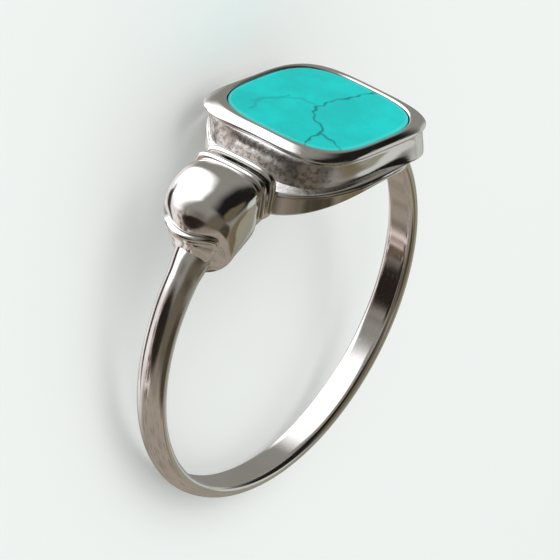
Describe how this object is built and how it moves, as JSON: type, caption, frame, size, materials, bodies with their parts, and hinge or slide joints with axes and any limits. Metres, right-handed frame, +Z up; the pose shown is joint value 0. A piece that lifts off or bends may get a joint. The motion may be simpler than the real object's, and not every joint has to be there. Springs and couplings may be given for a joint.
{
  "type": "turquoise ring",
  "caption": "Polished silver finger ring with a flat cushion of turquoise in a flared bezel and a ribbed barrel on one shoulder.",
  "frame": {"origin": "on the surface that the ring rests on, under the middle of its bounding box", "axes": "+Z up from the surface, near the finger axis, which leans 12 degrees toward +Y and 3 degrees toward +X; the stone faces -Y; the barrel is at +X, on the lower side"},
  "size_m": [0.0184, 0.0196, 0.0088],
  "materials": {
    "silver": "polished silver with fine wear and darker creases",
    "turquoise": "polished turquoise stone with a few thin dark veins"
  },
  "bodies": {
    "root": {"silver_ring": "silver", "turquoise_stone": "turquoise"}
  },
  "joints": []
}
